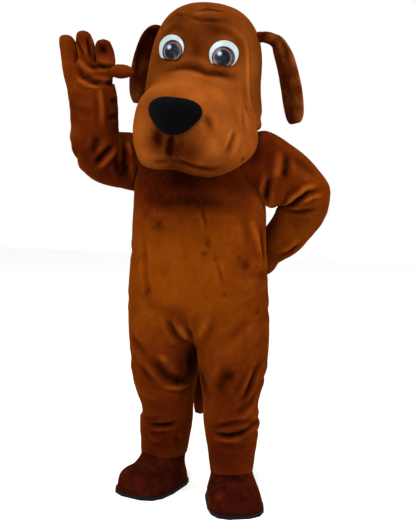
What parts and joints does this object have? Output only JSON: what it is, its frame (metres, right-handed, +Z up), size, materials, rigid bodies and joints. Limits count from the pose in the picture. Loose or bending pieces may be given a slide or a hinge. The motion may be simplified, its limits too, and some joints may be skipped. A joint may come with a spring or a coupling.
{
  "type": "hound mascot costume",
  "caption": "Worn plush hound costume with a big hollow head, hanging ears, one raised and one bent sleeve, gloves, foot covers, tail and an open neck.",
  "frame": {"origin": "middle of the wearer's shoulder line, where the worn suit is carried", "axes": "+Z up, front faces -Y, +X is the wearer's left"},
  "size_m": [0.9571, 0.7629, 1.9483],
  "materials": {
    "body_plush": "short-pile plush, golden brown",
    "head_plush": "short-pile plush, golden brown",
    "muzzle_plush": "short-pile plush, orange brown",
    "ear_plush": "short-pile plush, dark maroon brown",
    "foot_plush": "short-pile plush, very dark red brown",
    "black_felt": "black felt",
    "sole_rubber": "matt rubber sheet",
    "eye_white": "moulded gloss plastic",
    "eye_iris": "moulded gloss plastic",
    "zip_nylon": "nylon coil zip",
    "zip_metal": "antique metal"
  },
  "bodies": {
    "costume": {"ear_left": "ear_plush", "ear_right": "ear_plush", "eye_iris_left": "eye_iris", "eye_iris_right": "eye_iris", "eye_white_left": "eye_white", "eye_white_right": "eye_white", "foot_cover_left": "foot_plush", "foot_cover_right": "foot_plush", "glove_left": "body_plush", "glove_right": "body_plush", "head_face": "head_plush", "head_jaw": "head_plush", "head_muzzle": "muzzle_plush", "head_side_left": "head_plush", "head_side_right": "head_plush", "nose": "black_felt", "sleeve_left_back": "body_plush", "sleeve_left_front": "body_plush", "sleeve_right_back": "body_plush", "sleeve_right_front": "body_plush", "sole_left": "sole_rubber", "sole_right": "sole_rubber", "suit_back_left": "body_plush", "suit_back_right": "body_plush", "suit_front_left": "body_plush", "suit_front_right": "body_plush", "tail": "body_plush", "zip_chain": "zip_nylon", "zip_slider": "zip_metal"},
    "zip_pull": {"zip_pull": "zip_metal"}
  },
  "joints": [
    {"name": "pull_swing", "type": "hinge", "parent": "costume", "child": "zip_pull", "pos_m": [0, 0.17467, -0.133], "axis": [1, 0, 0], "range_deg": [0, 150]}
  ]
}
